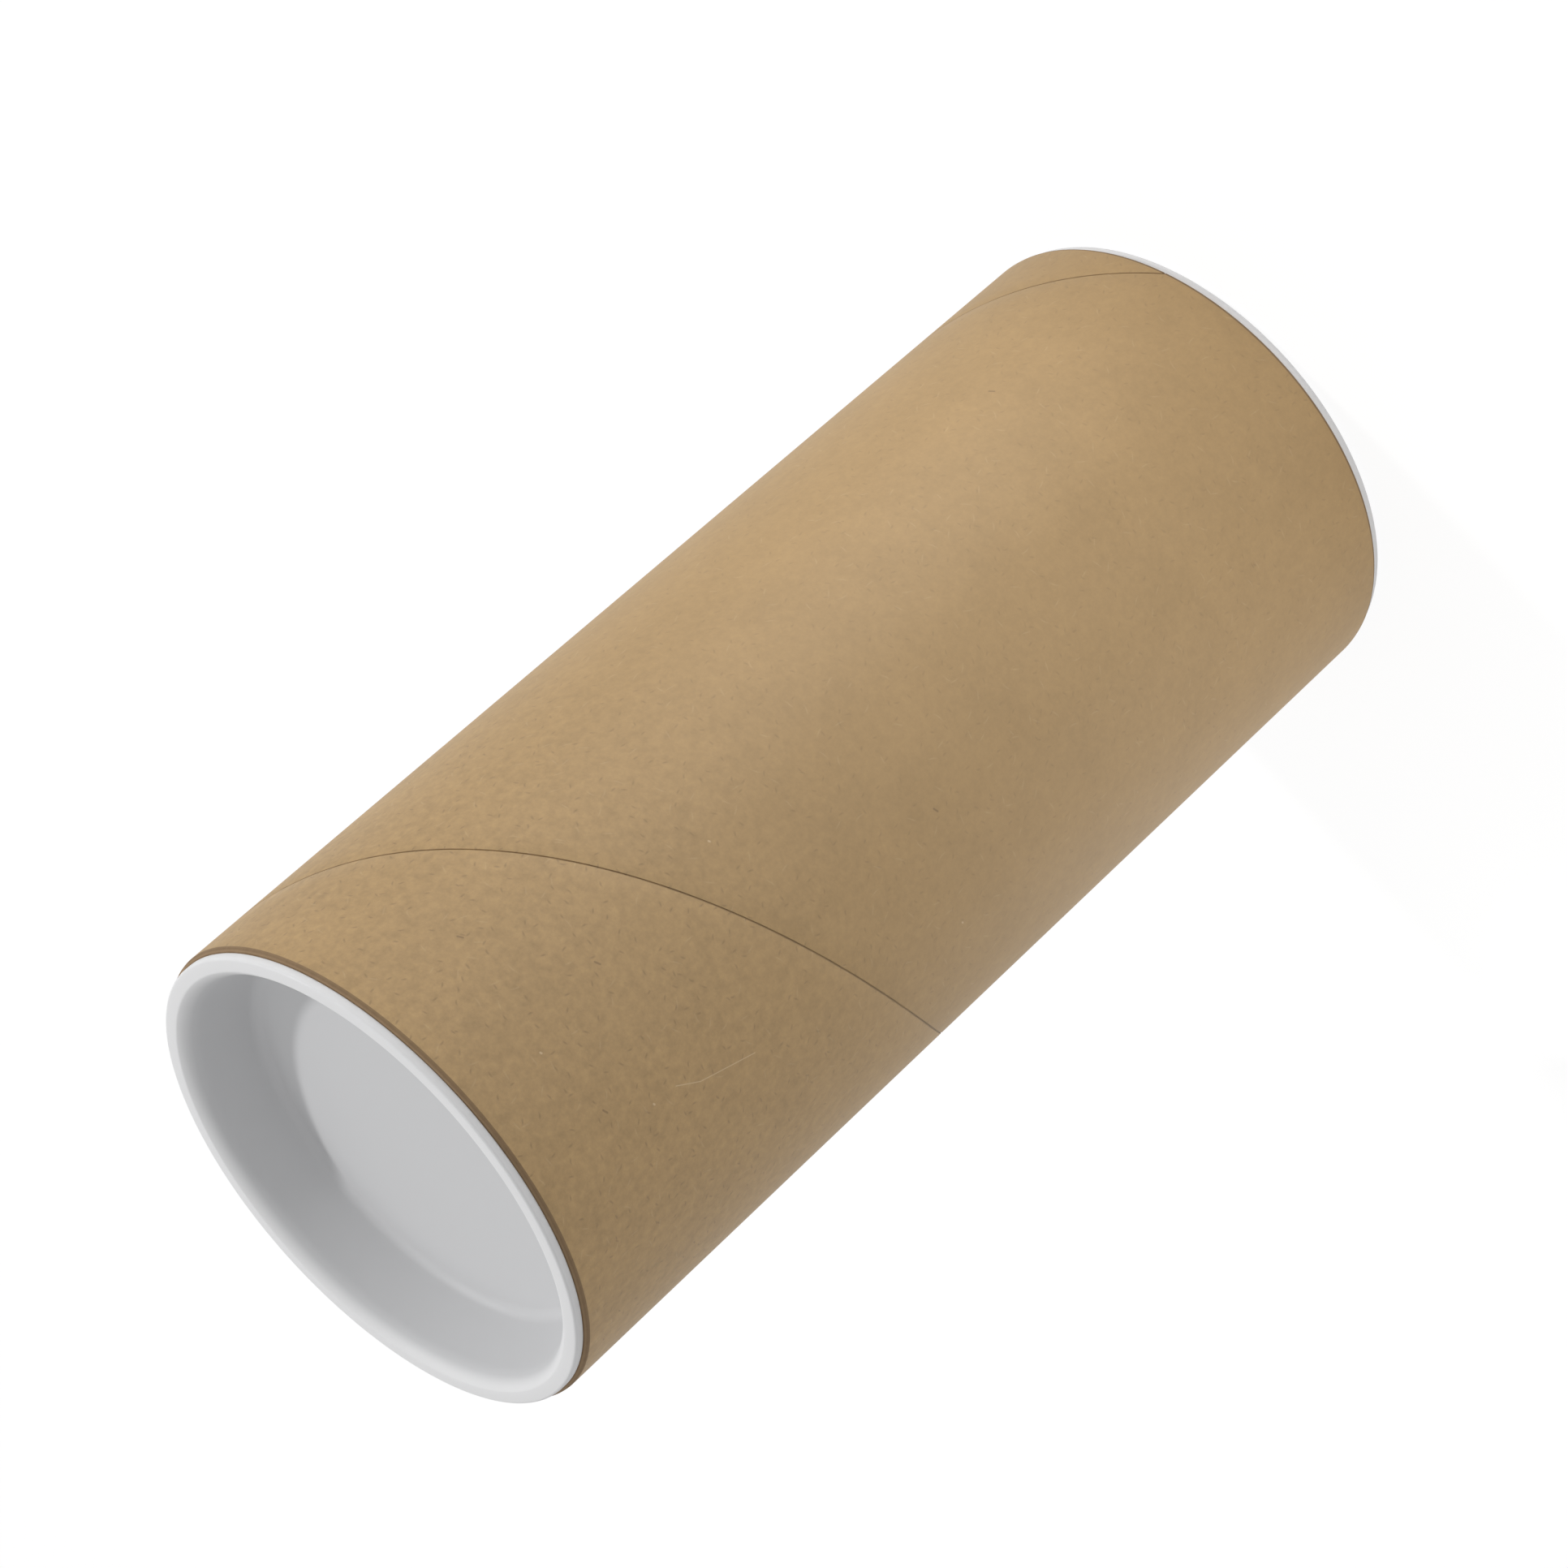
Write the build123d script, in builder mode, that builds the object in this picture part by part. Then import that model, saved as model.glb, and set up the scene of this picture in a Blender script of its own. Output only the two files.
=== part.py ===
from build123d import *
from math import cos, radians, sin, tan
import os

# Paper tube: spirally wound board, closed at each end by a moulded plug that pulls out.
# Millimetres, +Z up the axis, standing on the lower plug's flange at Z = 0.

# Tube
tube_length = 185.0
bore_diameter = 75.0
tube_wall = 3.0
tube_edge_bevel = 0.6  # outer corner of each cut end, softened by handling

# Butt seam of the tube's outer ply, a right-handed helix
seam_pitch = 152.0
seam_drop = 46.6  # from the tube's upper end down to the seam, on the front side (-Y)
seam_width = 0.5
seam_depth = 0.3
seam_overrun = 4.0  # how far the cut runs past each end of the tube

# Plugs
flange_thickness = 1.5
flange_inset = 0.6  # how far the flange stays inside the tube's outer wall
flange_edge_bevel = 0.4
plug_wall = 1.5
wall_draft = 13.0  # degrees by which the cup narrows towards its floor
cup_clearance = 0.15  # between the cup and the bore, at the tube's end
recess_depth = 10.6  # from the tube's end down to the floor of the cup
lip_radius = 5.0  # bend from the flange down into the cup
lip_edge_slope = 35.0  # degrees at which that bend leaves the flat of the flange
lip_flat_count = 2
floor_radius = 2.0  # bend between the cup's wall and floor
floor_flat_count = 2

# Grip rings round each plug, the lowest at its leading edge
ring_count = 2
ring_width = 1.6
ring_clearance = 0.08  # sliding room between a ring's tip and the bore

bore_radius = bore_diameter / 2
tube_radius = bore_radius + tube_wall
tube_bottom = flange_thickness
tube_top = tube_bottom + tube_length

flange_radius = tube_radius - flange_inset
ring_tip_radius = bore_radius - ring_clearance
plug_depth = recess_depth + plug_wall

# Where the seam's cut starts, as a height and as a turn from +X
front_angle = -90.0
full_turn = 360.0
seam_start = tube_bottom - seam_overrun
seam_front = tube_top - seam_drop
seam_start_angle = front_angle - full_turn * (seam_front - seam_start) / seam_pitch

# Path of the seam, turned about the tube's axis as no line block can turn it
seam_helix = Helix(seam_pitch, tube_length + 2 * seam_overrun, tube_radius)
seam_path = Pos(0, 0, seam_start) * Rot(0, 0, seam_start_angle) * seam_helix
seam_outward = seam_path @ 0 - Vector(0, 0, seam_start)
seam_plane = Plane(seam_path @ 0, x_dir=seam_outward, z_dir=seam_path % 0)

# Wound tube with its cut ends and the seam
with BuildPart() as paper_tube:
    with BuildSketch(Plane.XZ) as tube_section:
        with BuildLine():
            Polyline(
                (bore_radius, tube_bottom),
                (tube_radius - tube_edge_bevel, tube_bottom),
                (tube_radius, tube_bottom + tube_edge_bevel),
                (tube_radius, tube_top - tube_edge_bevel),
                (tube_radius - tube_edge_bevel, tube_top),
                (bore_radius, tube_top),
                close=True,
            )
        make_face()
    revolve(axis=Axis.Z)
    with BuildSketch(seam_plane) as seam_section:
        Rectangle(2 * seam_depth, seam_width)
    sweep(path=seam_path, is_frenet=True, mode=Mode.SUBTRACT)


def bend(centre, radius, start, end, flats):
    """Points along a round bend about its centre, from the start angle to the end angle."""
    across, up = centre
    angles = [radians(start + (end - start) * step / flats) for step in range(flats + 1)]
    return [(across + radius * cos(angle), up + radius * sin(angle)) for angle in angles]


def cup_outside(up):
    """Radius of the cup's outer face at a height over the tube's end."""
    return bore_radius - cup_clearance + up * tan(radians(wall_draft))


def cup_inside(up):
    """Radius of the cup's inner face, carried on in a straight line, at a height over the tube's end."""
    return cup_outside(up) - plug_wall / cos(radians(wall_draft))


# Centres of the two bends that run into the cup's leaning wall
lean_across = cos(radians(wall_draft))
lean_up = sin(radians(wall_draft))
floor_bend_up = floor_radius - recess_depth
floor_bend_across = cup_inside(floor_bend_up - floor_radius * lean_up) - floor_radius * lean_across
floor_bend_centre = (floor_bend_across, floor_bend_up)
lip_bend_up = flange_thickness - lip_radius * cos(radians(lip_edge_slope))
lip_bend_across = cup_inside(lip_bend_up + lip_radius * lean_up) + lip_radius * lean_across
lip_bend_centre = (lip_bend_across, lip_bend_up)

# Half section of a plug: across is the radius, up is out of the tube, zero is the tube's end
with BuildSketch() as plug_section:
    with BuildLine():
        Polyline(
            (0, -recess_depth),
            *bend(floor_bend_centre, floor_radius, -90, -wall_draft, floor_flat_count),
            *bend(lip_bend_centre, lip_radius, 180 - wall_draft, 90 + lip_edge_slope, lip_flat_count),
            (flange_radius - flange_edge_bevel, flange_thickness),
            (flange_radius, flange_thickness - flange_edge_bevel),
            (flange_radius, 0),
            (cup_outside(0), 0),
            (cup_outside(-plug_depth), -plug_depth),
            (0, -plug_depth),
            close=True,
        )
    make_face()
    ring_pitch = plug_depth / ring_count
    for ring in range(ring_count):
        ring_foot = ring * ring_pitch - plug_depth
        ring_top = ring_foot + ring_width
        with BuildLine():
            Polyline(
                (cup_outside(ring_foot) - plug_wall / 2, ring_foot),
                (cup_outside(ring_foot), ring_foot),
                (ring_tip_radius, ring_top),
                (cup_outside(ring_top) - plug_wall / 2, ring_top),
                close=True,
            )
        make_face()

# Plug in the upper end
with BuildPart() as top_plug:
    with BuildSketch(Plane((0, 0, tube_top), x_dir=(1, 0, 0), z_dir=(0, -1, 0))):
        add(plug_section.sketch)
    revolve(axis=Axis.Z)

# Plug in the lower end, the same piece the other way up
with BuildPart() as bottom_plug:
    with BuildSketch(Plane((0, 0, tube_bottom), x_dir=(1, 0, 0), z_dir=(0, 1, 0))):
        add(plug_section.sketch)
    revolve(axis=Axis.Z)

paper_tube.part.label = "paper_tube"
top_plug.part.label = "top_plug"
bottom_plug.part.label = "bottom_plug"

os.makedirs("parts", exist_ok=True)
export_step(paper_tube.part, "parts/paper_tube.step")
export_step(top_plug.part, "parts/top_plug.step")
export_step(bottom_plug.part, "parts/bottom_plug.step")
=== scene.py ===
from math import cos, hypot, pi, radians, sin, tan, tau

import bmesh
import bpy
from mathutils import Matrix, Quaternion, Vector


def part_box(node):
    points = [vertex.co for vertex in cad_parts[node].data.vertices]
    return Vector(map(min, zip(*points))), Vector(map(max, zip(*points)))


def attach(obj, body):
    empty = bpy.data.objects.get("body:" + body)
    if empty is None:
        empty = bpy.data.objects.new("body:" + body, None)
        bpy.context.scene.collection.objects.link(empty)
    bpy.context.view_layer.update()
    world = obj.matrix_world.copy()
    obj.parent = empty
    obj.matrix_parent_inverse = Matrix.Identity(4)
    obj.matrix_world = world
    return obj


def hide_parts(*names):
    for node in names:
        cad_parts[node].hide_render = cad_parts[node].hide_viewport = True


# Paper tube: a short spirally wound kraft tube with a white moulded plug in each end.
# Metres, +Z up the axis. The tube stands on its lower plug, and -Y is the side that the camera sees.

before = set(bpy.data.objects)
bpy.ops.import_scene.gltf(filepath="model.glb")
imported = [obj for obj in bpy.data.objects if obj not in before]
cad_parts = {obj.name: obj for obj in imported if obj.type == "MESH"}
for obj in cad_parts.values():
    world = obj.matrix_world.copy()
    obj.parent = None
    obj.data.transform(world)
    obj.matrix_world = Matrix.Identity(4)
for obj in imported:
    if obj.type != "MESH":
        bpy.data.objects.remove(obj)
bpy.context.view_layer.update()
mm = 0.001

# Sizes read from the frame
tube_low, tube_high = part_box("paper_tube")
plug_low, plug_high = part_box("top_plug")
tube_radius = tube_high.x
tube_bottom = tube_low.z
tube_top = tube_high.z
flange_radius = plug_high.x
flange_thickness = plug_high.z - tube_top
plug_depth = tube_top - plug_low.z
tube_middle = Vector((0, 0, tube_top / 2))

# Tube
bore_radius = 37.5 * mm
tube_edge_radius = 0.7 * mm
tube_edge_steps = 4
tube_steps = 360
bore_steps = 240

# Butt seam of the outer ply, and the one of the inner ply
seam_pitch = 152 * mm
seam_front = tube_top - 46.6 * mm
seam_width = 0.22 * mm
seam_depth = 0.14 * mm
seam_edge_radius = 0.06 * mm
seam_edge_steps = 3
ply_rows = 36
bore_seam_front = tube_top - 110 * mm

# Plugs
plug_wall = 1.5 * mm
wall_draft = 13
cup_clearance = 0.15 * mm
recess_depth = plug_depth - plug_wall
lip_radius = 5 * mm
lip_edge_slope = 35
lip_edge_radius = 0.6 * mm
lip_steps = 14
floor_radius = 2 * mm
floor_steps = 10
ring_clearance = 0.08 * mm
ring_width = 1.6 * mm
ring_tip = 0.15 * mm
ring_count = 2
ring_tip_radius = bore_radius - ring_clearance
flange_edge_radius = 0.45 * mm
flange_under_radius = 0.2 * mm
small_round_steps = 5
plug_steps = 256

# Paper grain and relief, and the fibres in it: spacing, length, width and share of places with one
cloud_size = 11 * mm
mottle_size = 1.5 * mm
grain_size = 0.45 * mm
ply_thickness = 0.5 * mm
face_relief = 0.06 * mm
cut_relief = 0.15 * mm
bore_relief = 0.05 * mm
dark_fibre = (2.2 * mm, 1.3 * mm, 0.2 * mm, 0.4)
pale_fibre = (3.1 * mm, 2.4 * mm, 0.16 * mm, 0.3)

# Stronger mottle near the upper end: down to the first depth in full, and none past the second
scuffed_depth = 25 * mm
unscuffed_depth = 95 * mm

# Length of the darker and the fainter stretches of the seam
seam_stretch = 4 * mm

# Paper colours
kraft_dark = (0.29, 0.184, 0.073, 1)
kraft_light = (0.56, 0.362, 0.157, 1)
fibre_dark = (0.17, 0.10, 0.045, 1)
fibre_light = (0.66, 0.50, 0.31, 1)
seam_brown = (0.14, 0.084, 0.036, 1)
cut_dark = (0.19, 0.12, 0.062, 1)
cut_light = (0.36, 0.24, 0.13, 1)

# Plug colours: white on the rim, and painted shade that turns the cup greyer between two depths under the
# rim
plug_white = (0.84, 0.84, 0.845, 1)
plug_cup_shade_grey = (0.645, 0.647, 0.655, 1)
cup_shade_from = 0.1 * mm
cup_shade_to = 2.0 * mm

# Width, out from the bore's radius, in which the painted cup shade ends
cup_shade_border = 0.6 * mm

# Cloud, grain and relief of the plastic
plug_cloud_size = 14 * mm
plug_grain_size = 0.35 * mm
plug_relief = 0.02 * mm

# Marks on the tube's face: degrees from the front towards +X, and distance under the upper end
speck_width = 0.45 * mm
pale_specks = ((5.3, 54.8 * mm), (-46.7, 83.9 * mm), (-26.8, 23 * mm), (-3.6, 13.3 * mm))
dark_specks = ((1.7, 29 * mm), (24, 17.8 * mm), (-21.5, 87.4 * mm), (-21.2, 16 * mm), (39.8, 148 * mm))
speck_length = 0.7 * mm
hair_width = 0.22 * mm
pale_hair = ((-27, 27.4 * mm), (-30, 31.2 * mm), (-33.8, 41.3 * mm))

# Floor: its bounce, and what the camera sees of its shadow
floor_size = 8
floor_white = (0.8, 0.8, 0.8, 1)
floor_shadow = (0.15, 0.15, 0.15, 1)
floor_glow = 0.9

# Lights, in metres and watts: large ones about the tube, and small ones low beside it
ambient_strength = 0.41
softbox_distance = 1.6
key_size = 0.13
fill_size = 1.0
foot_light_height = 20 * mm
foot_light_size = 0.05
near_foot = 0.12
far_foot = 0.3
glow_place = Vector((0.113, -0.113, 2 * mm))
glow_size = 0.14

# Angle under which neighbouring faces shade as one surface
smooth_angle = radians(35)
weld_distance = 0.002 * mm
cut_threshold = 0.0001 * mm


# Modelling helpers

class ProfilePen:
    """Draws a half section in the XZ plane, vertex by vertex: across is X and up is Z."""

    def __init__(self, name, across, up):
        bpy.ops.object.select_all(action="DESELECT")
        bpy.ops.mesh.primitive_plane_add(size=mm)
        self.piece = bpy.context.object
        self.piece.name = name
        self.piece.data.name = name
        bpy.ops.object.mode_set(mode="EDIT")
        bpy.ops.mesh.select_all(action="SELECT")
        bpy.ops.mesh.merge(type="CENTER")
        bpy.ops.transform.translate(value=(across, 0, up))
        self.place = Vector((across, 0, up))

    def line_to(self, across, up):
        """A straight edge to the given place."""
        place = Vector((across, 0, up))
        bpy.ops.mesh.extrude_region_move(TRANSFORM_OT_translate={"value": place - self.place})
        self.place = place

    def bend(self, across, up, degrees, steps):
        """A round bend about a centre, anticlockwise for positive degrees."""
        centre = Vector((across, 0, up))
        turn = radians(degrees)
        bpy.ops.mesh.spin(steps=steps, angle=turn, center=centre, axis=(0, 1, 0))
        self.place = centre + Quaternion((0, -1, 0), turn) @ (self.place - centre)


def select_where(piece, wanted, kind="faces"):
    """Selects, in edit mode, only the faces, edges or verts whose places all pass the test."""
    bpy.ops.mesh.select_all(action="DESELECT")
    mesh = bmesh.from_edit_mesh(piece.data)
    for element in getattr(mesh, kind):
        corners = [element] if kind == "verts" else element.verts
        if all(wanted(corner.co) for corner in corners):
            element.select_set(True)
    bmesh.update_edit_mesh(piece.data)


def close_mesh(piece):
    """Welds the seams and poles, turns the faces outwards and leaves edit mode."""
    bpy.ops.mesh.select_all(action="SELECT")
    bpy.ops.mesh.remove_doubles(threshold=weld_distance)
    bpy.ops.mesh.normals_make_consistent(inside=False)
    bpy.ops.object.mode_set(mode="OBJECT")
    bpy.ops.object.shade_smooth_by_angle(angle=smooth_angle)


# Plugs

def cup_outside(up):
    """Radius of the upper plug's outer face at a height: the cup narrows towards its floor."""
    return bore_radius - cup_clearance + (up - tube_top) * tan(radians(wall_draft))


def cup_inside(up):
    """Radius of the upper plug's inner face, carried on in a straight line, at a height."""
    return cup_outside(up) - plug_wall / cos(radians(wall_draft))


def model_top_plug():
    """The moulded plug in the upper end: one half section, spun about the axis."""
    end = tube_top
    floor = end - recess_depth
    rim = end + flange_thickness
    foot = end - plug_depth
    lean_across = cos(radians(wall_draft))
    lean_up = sin(radians(wall_draft))
    edge_across = sin(radians(lip_edge_slope))
    edge_up = cos(radians(lip_edge_slope))

    # Floor of the cup and its leaning wall
    pen = ProfilePen("top_plug_moulding", 0, floor)
    bend_up = floor + floor_radius
    bend_across = cup_inside(bend_up - floor_radius * lean_up) - floor_radius * lean_across
    pen.line_to(bend_across, floor)
    pen.bend(bend_across, bend_up, 90 - wall_draft, floor_steps)

    # Wide bend of the lip, and the small one where it meets the flat of the flange
    bend_up = rim - lip_edge_radius - (lip_radius - lip_edge_radius) * edge_up
    wall_top = bend_up + lip_radius * lean_up
    bend_across = cup_inside(wall_top) + lip_radius * lean_across
    pen.line_to(cup_inside(wall_top), wall_top)
    pen.bend(bend_across, bend_up, wall_draft + lip_edge_slope - 90, lip_steps)
    bend_across -= (lip_radius - lip_edge_radius) * edge_across
    pen.bend(bend_across, rim - lip_edge_radius, -lip_edge_slope, small_round_steps)

    # Flange that rests on the tube's cut end
    pen.line_to(flange_radius - flange_edge_radius, rim)
    pen.bend(flange_radius - flange_edge_radius, rim - flange_edge_radius, -90, small_round_steps)
    pen.line_to(flange_radius, end + flange_under_radius)
    pen.bend(flange_radius - flange_under_radius, end + flange_under_radius, -90, small_round_steps)
    pen.line_to(cup_outside(end), end)

    # Grip rings, the lowest at the leading edge
    ring_pitch = plug_depth / ring_count
    for ring in reversed(range(ring_count)):
        ring_foot = foot + ring * ring_pitch
        ring_top = ring_foot + ring_width
        pen.line_to(cup_outside(ring_top), ring_top)
        pen.line_to(ring_tip_radius, ring_top)
        pen.line_to(ring_tip_radius, ring_top - ring_tip)
        pen.line_to(cup_outside(ring_foot), ring_foot)
    pen.line_to(0, foot)

    bpy.ops.mesh.select_all(action="SELECT")
    bpy.ops.mesh.spin(steps=plug_steps, angle=tau, center=(0, 0, 0), axis=(0, 0, 1))
    close_mesh(pen.piece)
    return pen.piece


def copy_to_lower_end(plug):
    """The same plug the other way up, in the lower end, with its place in its mesh."""
    bpy.ops.object.select_all(action="DESELECT")
    plug.select_set(True)
    bpy.context.view_layer.objects.active = plug
    bpy.ops.object.duplicate(linked=False)
    copy = bpy.context.object
    copy.name = "bottom_plug_moulding"
    copy.data.name = copy.name
    copy.rotation_euler = (pi, 0, 0)
    copy.location = (0, 0, tube_bottom + tube_top)
    bpy.ops.object.transform_apply(location=True, rotation=True, scale=True)
    return copy


# Tube

def draw_outer_ply():
    """Cross section of the outer ply over one pitch, from the middle of one seam to the next."""
    # Height of a seam on the +X side, low enough for the winding to start under the tube
    seam = seam_front + seam_pitch / 4
    while seam > tube_bottom - seam_pitch:
        seam -= seam_pitch
    gap = seam_width / 2
    groove = tube_radius - seam_depth
    soft = tube_radius - seam_edge_radius
    next_seam = seam + seam_pitch
    lower_edge = seam + gap + seam_edge_radius
    upper_edge = next_seam - gap - seam_edge_radius

    pen = ProfilePen("kraft_tube", groove, seam)
    pen.line_to(groove, seam + gap)
    pen.line_to(soft, seam + gap)
    pen.bend(soft, lower_edge, 90, seam_edge_steps)
    pen.line_to(tube_radius, upper_edge)
    pen.bend(soft, upper_edge, 90, seam_edge_steps)
    pen.line_to(groove, next_seam - gap)
    pen.line_to(groove, next_seam)

    select_where(pen.piece, lambda place: place.x > tube_radius - weld_distance, "edges")
    bpy.ops.mesh.subdivide(number_cuts=ply_rows)
    bpy.ops.object.mode_set(mode="OBJECT")
    return pen.piece, seam


def wind_outer_ply(tube, first_seam):
    """Winds the ply round the axis until it reaches past the tube's upper end."""
    winding = tube.modifiers.new("winding", "SCREW")
    winding.axis = "Z"
    winding.angle = tau
    winding.screw_offset = seam_pitch
    winding.iterations = int((tube_top - first_seam) / seam_pitch) + 1
    winding.steps = tube_steps
    winding.render_steps = tube_steps
    bpy.ops.object.modifier_apply(modifier=winding.name)


def round_cut_edge(upwards):
    """Rounds the cut edge that is selected, out to the flat of the tube's end."""
    radius = tube_radius
    rise = 0
    for step in range(1, tube_edge_steps + 1):
        turn = radians(90) * step / tube_edge_steps
        new_radius = tube_radius - tube_edge_radius * (1 - cos(turn))
        new_rise = tube_edge_radius * sin(turn)
        move = (0, 0, upwards * (new_rise - rise))
        bpy.ops.mesh.extrude_region_move(TRANSFORM_OT_translate={"value": move})
        shrink = new_radius / radius
        bpy.ops.transform.resize(value=(shrink, shrink, 1), center_override=(0, 0, 0))
        radius = new_radius
        rise = new_rise


def model_tube():
    """The wound tube: outer ply with its open seam, cut ends and bore, as one closed skin."""
    tube, first_seam = draw_outer_ply()
    wind_outer_ply(tube, first_seam)
    bpy.ops.object.mode_set(mode="EDIT")
    bpy.ops.mesh.select_all(action="SELECT")
    bpy.ops.mesh.remove_doubles(threshold=weld_distance)

    # Saw cuts at both ends, each rounded over
    up = (0, 0, 1)
    upper_cut = (0, 0, tube_top - tube_edge_radius)
    lower_cut = (0, 0, tube_bottom + tube_edge_radius)
    bpy.ops.mesh.select_all(action="SELECT")
    bpy.ops.mesh.bisect(plane_co=upper_cut, plane_no=up, clear_outer=True, threshold=cut_threshold)
    round_cut_edge(1)
    bpy.ops.mesh.select_all(action="SELECT")
    bpy.ops.mesh.bisect(plane_co=lower_cut, plane_no=up, clear_inner=True, threshold=cut_threshold)
    round_cut_edge(-1)

    # Bore, and the flat ring at each end
    bpy.ops.mesh.primitive_cylinder_add(
        vertices=bore_steps,
        radius=bore_radius,
        depth=tube_top - tube_bottom,
        end_fill_type="NOTHING",
        location=(0, 0, (tube_top + tube_bottom) / 2),
    )
    for end in (tube_top, tube_bottom):
        select_where(tube, lambda place: abs(place.z - end) < weld_distance, "edges")
        bpy.ops.mesh.bridge_edge_loops()
    close_mesh(tube)
    return tube


# Finish helpers

def add_node(tree, kind, inputs=(), **settings):
    """A shader node with its settings, and its inputs set to values or linked to other outputs."""
    made = tree.nodes.new(kind)
    for name, value in settings.items():
        setattr(made, name, value)
    for socket, value in dict(inputs).items():
        if isinstance(value, bpy.types.NodeSocket):
            tree.links.new(value, made.inputs[socket])
        else:
            made.inputs[socket].default_value = value
    return made


def maths(tree, operation, *values):
    """The result of a Math node on numbers or outputs."""
    return add_node(tree, "ShaderNodeMath", enumerate(values), operation=operation).outputs[0]


def vectors(tree, operation, *values):
    """The result of a Vector Math node: a number from dot products and distances, else a vector."""
    made = add_node(tree, "ShaderNodeVectorMath", enumerate(values), operation=operation)
    return made.outputs["Value" if operation in ("DOT_PRODUCT", "DISTANCE") else "Vector"]


def fade(tree, value, start, end):
    """One where the value is under start, falling smoothly to zero at end."""
    sockets = {"Value": value, "From Min": start, "From Max": end, "To Min": 1, "To Max": 0}
    made = add_node(tree, "ShaderNodeMapRange", sockets, interpolation_type="SMOOTHSTEP")
    return made.outputs["Result"]


def blend_colours(tree, share, first, second):
    """Two colours mixed by a share."""
    sockets = {0: share, 6: first, 7: second}
    return add_node(tree, "ShaderNodeMix", sockets, data_type="RGBA").outputs[2]


def noise(tree, point, grain_size, detail, roughness=0.5):
    """Noise from 0 to 1 whose grains are about the given size."""
    sockets = {"Vector": point, "Scale": 1 / grain_size, "Detail": detail, "Roughness": roughness}
    return add_node(tree, "ShaderNodeTexNoise", sockets).outputs["Fac"]


def new_group(name, inputs, outputs):
    """An empty shader node group with named sockets: its tree, its input node and its output node."""
    tree = bpy.data.node_groups.new(name, "ShaderNodeTree")
    for socket, kind in inputs.items():
        tree.interface.new_socket(socket, in_out="INPUT", socket_type="NodeSocket" + kind)
    for socket, kind in outputs.items():
        tree.interface.new_socket(socket, in_out="OUTPUT", socket_type="NodeSocket" + kind)
    return tree, tree.nodes.new("NodeGroupInput"), tree.nodes.new("NodeGroupOutput")


def new_finish(name):
    """An empty material: its tree, its Principled shader and the point on the piece."""
    finish = bpy.data.materials.new(name)
    finish.use_nodes = True
    tree = finish.node_tree
    point = add_node(tree, "ShaderNodeTexCoord").outputs["Object"]
    return finish, tree, tree.nodes["Principled BSDF"], point


def add_relief(tree, shader, height, depth, strength):
    """Feeds a height into the shader as fine relief of the given depth."""
    sockets = {"Height": height, "Distance": depth, "Strength": strength}
    made = add_node(tree, "ShaderNodeBump", sockets)
    tree.links.new(made.outputs["Normal"], shader.inputs["Normal"])


# Effects that several finishes share

def make_wound_ply():
    """Places on a wound ply: on its paper strip, on the unrolled tube, and the distance to its seam."""
    inputs = {"Point": "Vector", "Radius": "Float", "Pitch": "Float", "Front seam": "Float"}
    outputs = {"Strip": "Vector", "Unrolled": "Vector", "Seam distance": "Float"}
    tree, given, result = new_group("wound ply", inputs, outputs)
    given = given.outputs
    place = add_node(tree, "ShaderNodeSeparateXYZ", {0: given["Point"]}).outputs
    girth = maths(tree, "MULTIPLY", given["Radius"], tau)
    turn = maths(tree, "ARCTAN2", place["X"], maths(tree, "MULTIPLY", place["Y"], -1))
    turns = maths(tree, "DIVIDE", turn, tau)
    rise = maths(tree, "SUBTRACT", place["Z"], given["Front seam"])
    laps = maths(tree, "SUBTRACT", maths(tree, "DIVIDE", rise, given["Pitch"]), turns)
    lap = maths(tree, "FLOOR", laps)
    share = maths(tree, "SUBTRACT", laps, lap)
    around = maths(tree, "MULTIPLY", maths(tree, "ADD", turns, lap), girth)
    slope = maths(tree, "ARCTAN2", given["Pitch"], girth)
    run = maths(tree, "COSINE", slope)
    climb = maths(tree, "SINE", slope)
    width = maths(tree, "MULTIPLY", given["Pitch"], run)
    along_run = maths(tree, "MULTIPLY", around, run)
    along_climb = maths(tree, "MULTIPLY", place["Z"], climb)
    nearer = maths(tree, "MINIMUM", share, maths(tree, "SUBTRACT", 1, share))
    along = maths(tree, "ADD", along_run, along_climb)
    across = maths(tree, "MULTIPLY", share, width)
    arc = maths(tree, "MULTIPLY", turn, given["Radius"])
    strip = add_node(tree, "ShaderNodeCombineXYZ", {"X": along, "Y": across})
    unrolled = add_node(tree, "ShaderNodeCombineXYZ", {"X": arc, "Y": place["Z"]})
    tree.links.new(strip.outputs[0], result.inputs["Strip"])
    tree.links.new(unrolled.outputs[0], result.inputs["Unrolled"])
    tree.links.new(maths(tree, "MULTIPLY", nearer, width), result.inputs["Seam distance"])
    return tree


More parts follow.
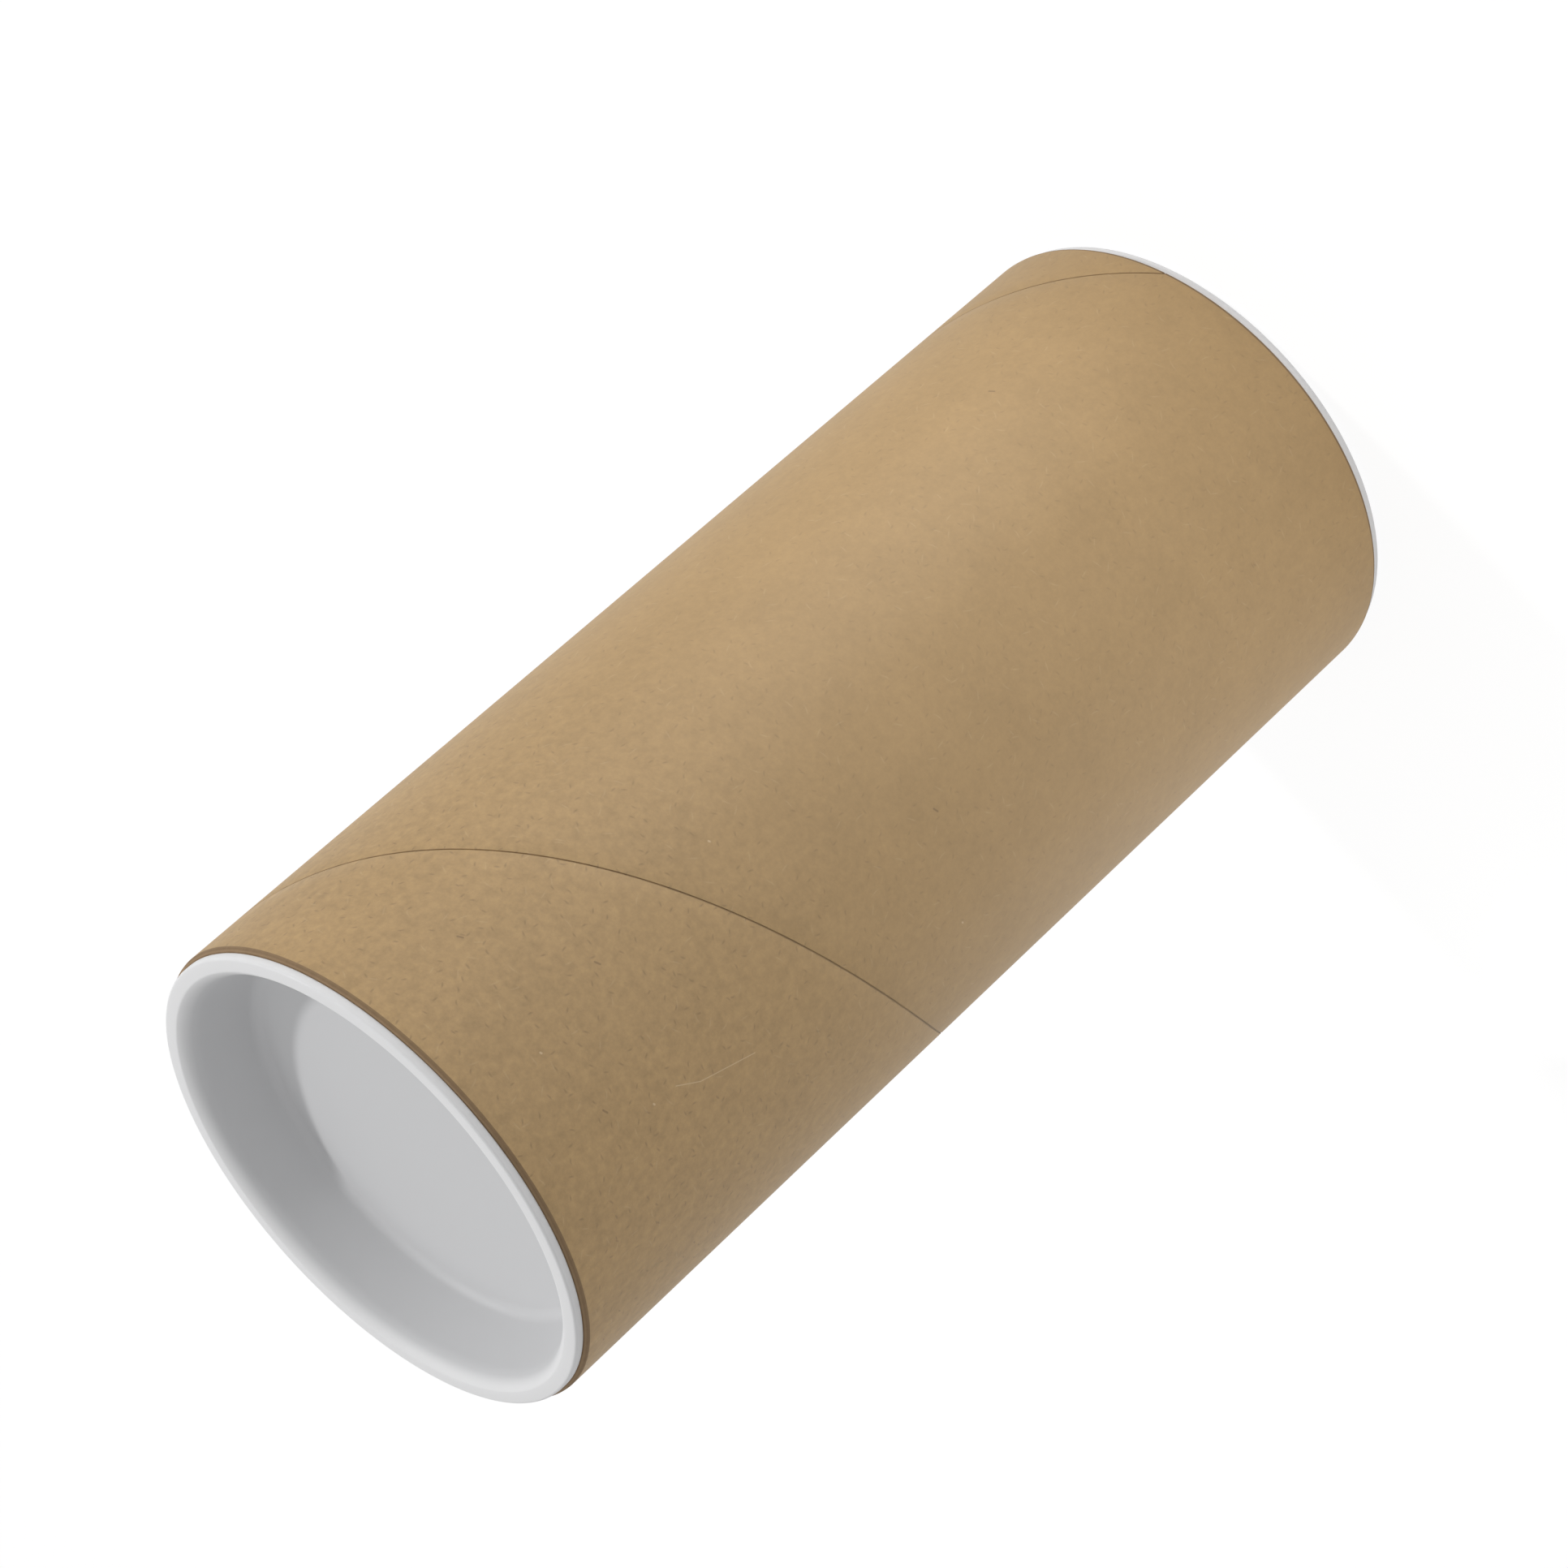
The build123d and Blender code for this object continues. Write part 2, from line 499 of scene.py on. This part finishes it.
def make_loose_fibres():
    """A mask of short fibres that lie at all angles in the paper, one in some of the cells."""
    names = ("Spacing", "Length", "Width", "Share")
    inputs = {"Strip": "Vector", **dict.fromkeys(names, "Float")}
    tree, given, result = new_group("loose fibres", inputs, {"Mask": "Float"})
    given = given.outputs
    shrink = maths(tree, "DIVIDE", 1, given["Spacing"])
    cell = add_node(tree, "ShaderNodeVectorMath", {0: given["Strip"], "Scale": shrink}, operation="SCALE")
    sockets = {"Vector": cell.outputs[0], "Scale": 1}
    cells = add_node(tree, "ShaderNodeTexVoronoi", sockets, voronoi_dimensions="2D").outputs
    sockets = {0: cell.outputs[0], 1: cells["Position"]}
    offset = add_node(tree, "ShaderNodeVectorMath", sockets, operation="SUBTRACT")
    sockets = {0: offset.outputs[0], "Scale": given["Spacing"]}
    local = add_node(tree, "ShaderNodeVectorMath", sockets, operation="SCALE")
    chance = add_node(tree, "ShaderNodeSeparateColor", {0: cells["Color"]}).outputs
    sockets = {"Vector": local.outputs[0], "Angle": maths(tree, "MULTIPLY", chance["Red"], pi)}
    turned = add_node(tree, "ShaderNodeVectorRotate", sockets, rotation_type="Z_AXIS")
    place = add_node(tree, "ShaderNodeSeparateXYZ", {0: turned.outputs[0]}).outputs
    curl = maths(tree, "DIVIDE", maths(tree, "SUBTRACT", chance["Blue"], 0.5), given["Length"])
    bow = maths(tree, "MULTIPLY", maths(tree, "MULTIPLY", place["X"], place["X"]), curl)
    aside = maths(tree, "ABSOLUTE", maths(tree, "ADD", place["Y"], bow))
    ahead = maths(tree, "ABSOLUTE", place["X"])
    half = maths(tree, "MULTIPLY", given["Length"], 0.5)
    thin = maths(tree, "MULTIPLY", given["Width"], 0.25)
    body = maths(tree, "MULTIPLY", fade(tree, aside, thin, given["Width"]), fade(tree, ahead, thin, half))
    chosen = maths(tree, "LESS_THAN", chance["Green"], given["Share"])
    tree.links.new(maths(tree, "MULTIPLY", body, chosen), result.inputs["Mask"])
    return tree


def make_paper_cloud():
    """The cloudy tone of a paper sheet, its finer mottle and its grain."""
    outputs = dict.fromkeys(("Cloud", "Mottle", "Grain"), "Float")
    tree, given, result = new_group("paper cloud", {"Point": "Vector"}, outputs)
    point = given.outputs["Point"]
    tree.links.new(noise(tree, point, cloud_size, 4, 0.6), result.inputs["Cloud"])
    tree.links.new(noise(tree, point, mottle_size, 4, 0.65), result.inputs["Mottle"])
    tree.links.new(noise(tree, point, grain_size, 2), result.inputs["Grain"])
    return tree


def make_fine_mark():
    """A mask of one straight fine mark between two places."""
    inputs = {"Place": "Vector", "Start": "Vector", "End": "Vector", "Width": "Float"}
    tree, given, result = new_group("fine mark", inputs, {"Mask": "Float"})
    given = given.outputs
    away = vectors(tree, "SUBTRACT", given["Place"], given["Start"])
    run = vectors(tree, "SUBTRACT", given["End"], given["Start"])
    reach = vectors(tree, "DOT_PRODUCT", away, run)
    whole = vectors(tree, "DOT_PRODUCT", run, run)
    share = add_node(tree, "ShaderNodeMath", {0: reach, 1: whole}, operation="DIVIDE", use_clamp=True)
    foot = add_node(tree, "ShaderNodeVectorMath", {0: run, "Scale": share.outputs[0]}, operation="SCALE")
    gap = vectors(tree, "DISTANCE", away, foot.outputs[0])
    half = maths(tree, "MULTIPLY", given["Width"], 0.5)
    tree.links.new(fade(tree, gap, maths(tree, "MULTIPLY", half, 0.3), half), result.inputs["Mask"])
    return tree


# Finishes

def on_face(mark):
    """A mark's place on the unrolled tube."""
    degrees, drop = mark
    return Vector((radians(degrees) * tube_radius, tube_top - drop, 0))


def add_marks(tree, unrolled, strokes, width):
    """One mask of all the given strokes, each from a start to an end on the unrolled tube."""
    mask = 0
    for start, end in strokes:
        sockets = {"Place": unrolled, "Start": start, "End": end, "Width": width}
        mark = add_node(tree, "ShaderNodeGroup", sockets, node_tree=fine_mark).outputs["Mask"]
        mask = maths(tree, "MAXIMUM", mask, mark)
    return mask


def add_fibres(tree, strip, spacing, length, width, share):
    """A mask of loose fibres of one kind."""
    sockets = {"Strip": strip, "Spacing": spacing, "Length": length, "Width": width, "Share": share}
    return add_node(tree, "ShaderNodeGroup", sockets, node_tree=loose_fibres).outputs["Mask"]


def finish_kraft_face():
    """Brown kraft paper of the outer ply: mottled, with loose fibres, a few marks and a dark open seam."""
    finish, tree, shader, point = new_finish("kraft_face")
    sockets = {"Point": point, "Radius": tube_radius, "Pitch": seam_pitch, "Front seam": seam_front}
    ply = add_node(tree, "ShaderNodeGroup", sockets, node_tree=wound_ply).outputs
    paper = add_node(tree, "ShaderNodeGroup", {"Point": point}, node_tree=paper_cloud).outputs

    # Tone of the paper, more mottled towards the upper end
    height = add_node(tree, "ShaderNodeSeparateXYZ", {0: point}).outputs["Z"]
    drop = maths(tree, "SUBTRACT", tube_top, height)
    scuffed = fade(tree, drop, scuffed_depth, unscuffed_depth)
    cloud = maths(tree, "MULTIPLY", paper["Cloud"], 0.35)
    strength = maths(tree, "ADD", maths(tree, "MULTIPLY", scuffed, 0.6), 0.4)
    mottle = maths(tree, "MULTIPLY", maths(tree, "SUBTRACT", paper["Mottle"], 0.5), strength)
    mottle = maths(tree, "ADD", mottle, 0.22)
    grain = maths(tree, "MULTIPLY", paper["Grain"], 0.2)
    tone = maths(tree, "ADD", maths(tree, "ADD", cloud, mottle), grain)
    colour = blend_colours(tree, tone, kraft_dark, kraft_light)

    # Fibres and single marks
    dark_fibres = add_fibres(tree, ply["Strip"], *dark_fibre)
    pale_fibres = add_fibres(tree, ply["Strip"], *pale_fibre)
    slant = Vector((speck_length, speck_length / 2, 0))
    dark_strokes = [(on_face(speck), on_face(speck) + slant) for speck in dark_specks]
    pale_strokes = [(on_face(speck), on_face(speck) + slant / 4) for speck in pale_specks]
    hair_places = [on_face(mark) for mark in pale_hair]
    hair_strokes = list(zip(hair_places, hair_places[1:]))
    dark_marks = add_marks(tree, ply["Unrolled"], dark_strokes, speck_width)
    pale_marks = add_marks(tree, ply["Unrolled"], pale_strokes, speck_width)
    hair = add_marks(tree, ply["Unrolled"], hair_strokes, hair_width)
    dark_share = maths(tree, "ADD", maths(tree, "MULTIPLY", scuffed, 0.2), 0.2)
    dark_fibres = maths(tree, "MULTIPLY", dark_fibres, dark_share)
    pale_fibres = maths(tree, "MULTIPLY", pale_fibres, 0.16)
    dark_marks = maths(tree, "MULTIPLY", dark_marks, 0.6)
    pale_marks = maths(tree, "MULTIPLY", pale_marks, 0.7)
    hair = maths(tree, "MULTIPLY", hair, 0.6)
    dark = maths(tree, "MAXIMUM", dark_fibres, dark_marks)
    pale = maths(tree, "MAXIMUM", pale_fibres, pale_marks)
    pale = maths(tree, "MAXIMUM", pale, hair)
    colour = blend_colours(tree, dark, colour, fibre_dark)
    colour = blend_colours(tree, pale, colour, fibre_light)

    # Seam, darker and fainter by turns
    seam = fade(tree, ply["Seam distance"], seam_width / 2, seam_width)
    unevenness = noise(tree, ply["Strip"], seam_stretch, 2)
    darkness = maths(tree, "ADD", maths(tree, "MULTIPLY", unevenness, 0.7), 0.05)
    seam = maths(tree, "MULTIPLY", seam, darkness)
    colour = blend_colours(tree, seam, colour, seam_brown)
    tree.links.new(colour, shader.inputs["Base Color"])
    rough = maths(tree, "ADD", maths(tree, "MULTIPLY", paper["Grain"], 0.12), 0.53)
    tree.links.new(rough, shader.inputs["Roughness"])
    shader.inputs["Specular IOR Level"].default_value = 0.75
    add_relief(tree, shader, tone, face_relief, 0.4)
    return finish


def finish_cut_edge():
    """Sawn end of the board: rough, darker, with the plies showing as fine rings."""
    finish, tree, shader, point = new_finish("kraft_cut_edge")
    paper = add_node(tree, "ShaderNodeGroup", {"Point": point}, node_tree=paper_cloud).outputs
    place = add_node(tree, "ShaderNodeSeparateXYZ", {0: point}).outputs
    flat = add_node(tree, "ShaderNodeCombineXYZ", {"X": place["X"], "Y": place["Y"]})
    radius = vectors(tree, "DISTANCE", flat.outputs[0], Vector((0, 0, 0)))
    plies = maths(tree, "SINE", maths(tree, "MULTIPLY", radius, tau / ply_thickness))
    rings = maths(tree, "ADD", maths(tree, "MULTIPLY", plies, 0.2), 0.2)
    tone = maths(tree, "ADD", rings, maths(tree, "MULTIPLY", paper["Mottle"], 0.6))
    colour = blend_colours(tree, tone, cut_dark, cut_light)
    tree.links.new(colour, shader.inputs["Base Color"])
    shader.inputs["Roughness"].default_value = 0.85
    add_relief(tree, shader, tone, cut_relief, 0.6)
    return finish


def finish_bore():
    """Plainer kraft paper of the inner ply, with its own seam."""
    finish, tree, shader, point = new_finish("kraft_bore")
    sockets = {"Point": point, "Radius": bore_radius, "Pitch": seam_pitch, "Front seam": bore_seam_front}
    ply = add_node(tree, "ShaderNodeGroup", sockets, node_tree=wound_ply).outputs
    paper = add_node(tree, "ShaderNodeGroup", {"Point": point}, node_tree=paper_cloud).outputs
    colour = blend_colours(tree, paper["Cloud"], kraft_dark, kraft_light)
    seam = fade(tree, ply["Seam distance"], seam_width / 2, seam_width)
    colour = blend_colours(tree, maths(tree, "MULTIPLY", seam, 0.7), colour, seam_brown)
    tree.links.new(colour, shader.inputs["Base Color"])
    shader.inputs["Roughness"].default_value = 0.7
    add_relief(tree, shader, paper["Grain"], bore_relief, 0.5)
    return finish


def finish_white_plug():
    """Moulded white plastic with a soft sheen, and painted shade that makes the cup and the body under the
    rim greyer.
    """
    finish, tree, shader, point = new_finish("plug_moulding")
    place = add_node(tree, "ShaderNodeSeparateXYZ", {0: point}).outputs
    half_way = (tube_top + tube_bottom) / 2
    from_middle = maths(tree, "ABSOLUTE", maths(tree, "SUBTRACT", place["Z"], half_way))
    across = maths(tree, "MULTIPLY", place["X"], place["X"])
    across = maths(tree, "ADD", across, maths(tree, "MULTIPLY", place["Y"], place["Y"]))
    # Painted shade: thin is one inside the bore's radius and deeper than the rim, where the white turns
    # greyer
    in_cup = fade(tree, maths(tree, "SQRT", across), bore_radius, bore_radius + cup_shade_border)
    rim = tube_top + flange_thickness - half_way
    thin = fade(tree, from_middle, rim - cup_shade_to, rim - cup_shade_from)
    thin = maths(tree, "MULTIPLY", thin, in_cup)
    # The painted cup shade gets a faint random cloud
    cloud = noise(tree, point, plug_cloud_size, 3)
    thin = maths(tree, "ADD", thin, maths(tree, "MULTIPLY", cloud, 0.1))
    colour = blend_colours(tree, thin, plug_white, plug_cup_shade_grey)
    tree.links.new(colour, shader.inputs["Base Color"])
    grain = noise(tree, point, plug_grain_size, 2)
    rough = maths(tree, "ADD", maths(tree, "MULTIPLY", grain, 0.1), 0.5)
    tree.links.new(rough, shader.inputs["Roughness"])
    add_relief(tree, shader, grain, plug_relief, 0.3)
    return finish


# Studio

def add_camera():
    """The photograph's view: its aim, distance, angles, roll and lens."""
    aim = Vector((3 * mm, 0, 93.5 * mm))
    distance = 777 * mm
    azimuth = radians(-0.25)
    elevation = radians(29.76)
    roll = radians(131.77)
    back = Vector((sin(azimuth) * cos(elevation), -cos(azimuth) * cos(elevation), sin(elevation)))
    data = bpy.data.cameras.new("camera")
    data.sensor_width = 36
    data.lens = 118.26
    camera = bpy.data.objects.new("camera", data)
    bpy.context.scene.collection.objects.link(camera)
    camera.location = aim + back * distance
    camera.rotation_mode = "QUATERNION"
    upright = (-back).to_track_quat("-Z", "Y")
    camera.rotation_quaternion = upright @ Quaternion((0, 0, 1), -roll)
    bpy.context.scene.camera = camera


def from_tube(azimuth, elevation):
    """A softbox's place, seen from the tube's middle; azimuth is from the front towards +X."""
    turn = radians(azimuth)
    lift = radians(elevation)
    away = Vector((sin(turn) * cos(lift), -cos(turn) * cos(lift), sin(lift)))
    return tube_middle + away * softbox_distance


def add_softbox(name, place, aim, size, power):
    """A round soft light at a place, aimed at another, that the camera doesn't see."""
    data = bpy.data.lights.new(name, "AREA")
    data.shape = "DISK"
    data.size = size
    data.energy = power
    lamp = bpy.data.objects.new(name, data)
    bpy.context.scene.collection.objects.link(lamp)
    lamp.location = place
    lamp.rotation_mode = "QUATERNION"
    lamp.rotation_quaternion = (aim - place).to_track_quat("-Z", "Y")
    lamp.visible_camera = False


def seen_directly(tree):
    """One for rays from the camera, a mirror or a lens, so that they all find the same white."""
    path = add_node(tree, "ShaderNodeLightPath").outputs
    mirror = maths(tree, "MAXIMUM", path["Is Camera Ray"], path["Is Glossy Ray"])
    return maths(tree, "MAXIMUM", mirror, path["Is Transmission Ray"])


def add_surroundings():
    """White all round, with an even soft light."""
    world = bpy.data.worlds.new("white_studio")
    bpy.context.scene.world = world
    world.use_nodes = True
    tree = world.node_tree
    seen = seen_directly(tree)
    sockets = {"Value": seen, "To Min": ambient_strength, "To Max": 1}
    strength = add_node(tree, "ShaderNodeMapRange", sockets).outputs["Result"]
    sky = tree.nodes["Background"]
    sky.inputs["Color"].default_value = (1, 1, 1, 1)
    tree.links.new(strength, sky.inputs["Strength"])


def add_floor():
    """A white floor that looks as white as the surroundings and keeps a faint shadow."""
    bpy.ops.object.select_all(action="DESELECT")
    bpy.ops.mesh.primitive_plane_add(size=floor_size)
    floor = bpy.context.object
    floor.name = "studio_floor"
    finish = bpy.data.materials.new("studio_floor")
    finish.use_nodes = True
    tree = finish.node_tree
    tree.nodes.remove(tree.nodes["Principled BSDF"])
    matt = add_node(tree, "ShaderNodeBsdfDiffuse", {"Color": floor_white}).outputs[0]
    shaded = add_node(tree, "ShaderNodeBsdfDiffuse", {"Color": floor_shadow}).outputs[0]
    glow = add_node(tree, "ShaderNodeEmission", {"Strength": floor_glow}).outputs[0]
    shown = add_node(tree, "ShaderNodeAddShader", {0: shaded, 1: glow}).outputs[0]
    mixed = add_node(tree, "ShaderNodeMixShader", {0: seen_directly(tree), 1: matt, 2: shown})
    tree.links.new(mixed.outputs[0], tree.nodes["Material Output"].inputs["Surface"])
    floor.data.materials.append(finish)


# Finishes on the pieces

def give_finish(piece, finish, wanted=None):
    """Adds a finish to a piece, for all its faces or for those whose places pass the test."""
    piece.data.materials.append(finish)
    if wanted is None:
        return
    bpy.ops.object.select_all(action="DESELECT")
    bpy.context.view_layer.objects.active = piece
    bpy.ops.object.mode_set(mode="EDIT")
    select_where(piece, wanted)
    piece.active_material_index = len(piece.data.materials) - 1
    bpy.ops.object.material_slot_assign()
    bpy.ops.object.mode_set(mode="OBJECT")


def on_cut_end(place):
    """True on the rounded cut edges and the flat rings of the tube's ends."""
    reach = tube_edge_radius + weld_distance
    return place.z > tube_top - reach or place.z < tube_bottom + reach


def on_bore(place):
    """True on the tube's inner wall."""
    return hypot(place.x, place.y) < bore_radius + weld_distance


# Pieces
top_plug = model_top_plug()
bottom_plug = copy_to_lower_end(top_plug)
tube = model_tube()

# Their finishes
wound_ply = make_wound_ply()
loose_fibres = make_loose_fibres()
paper_cloud = make_paper_cloud()
fine_mark = make_fine_mark()
white_plug = finish_white_plug()
give_finish(top_plug, white_plug)
give_finish(bottom_plug, white_plug)
give_finish(tube, finish_kraft_face())
give_finish(tube, finish_cut_edge(), on_cut_end)
give_finish(tube, finish_bore(), on_bore)

# Camera, floor and lights
add_camera()
add_surroundings()
add_floor()
for name, azimuth, elevation, size, power in (
    ("key_softbox", 93, 45, key_size, 8.6),
    ("back_softbox", 180, 65, fill_size, 3.4),
    ("front_fill", 0, 5, fill_size, 1.8),
    ("right_fill", 60, 5, fill_size, 0.8),
):
    add_softbox(name, from_tube(azimuth, elevation), tube_middle, size, power)
foot = Vector((0, 0, foot_light_height))
for azimuth, distance, power in (
    (-95, near_foot, 0.008),
    (-55, near_foot, 0.008),
    (-15, near_foot, 0.005),
    (25, near_foot, 0.003),
    (-15, far_foot, 0.03),
    (25, far_foot, 0.045),
    (65, far_foot, 0.045),
):
    turn = radians(azimuth)
    away = Vector((sin(turn), -cos(turn), 0))
    add_softbox("foot_light", foot + away * distance, foot, foot_light_size, power)
add_softbox("table_glow", glow_place, glow_place + Vector((0, 0, 1)), glow_size, 0.07)

# Each piece rides on its body in place of the plain node
for piece, body, node_name, slot_name in (
    (tube, "tube", "paper_tube", "kraft_board"),
    (top_plug, "top_plug", "top_plug", "white_plug"),
    (bottom_plug, "bottom_plug", "bottom_plug", "white_plug"),
):
    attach(piece, body)
    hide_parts(node_name)

bpy.context.scene.view_settings.view_transform = "Standard"
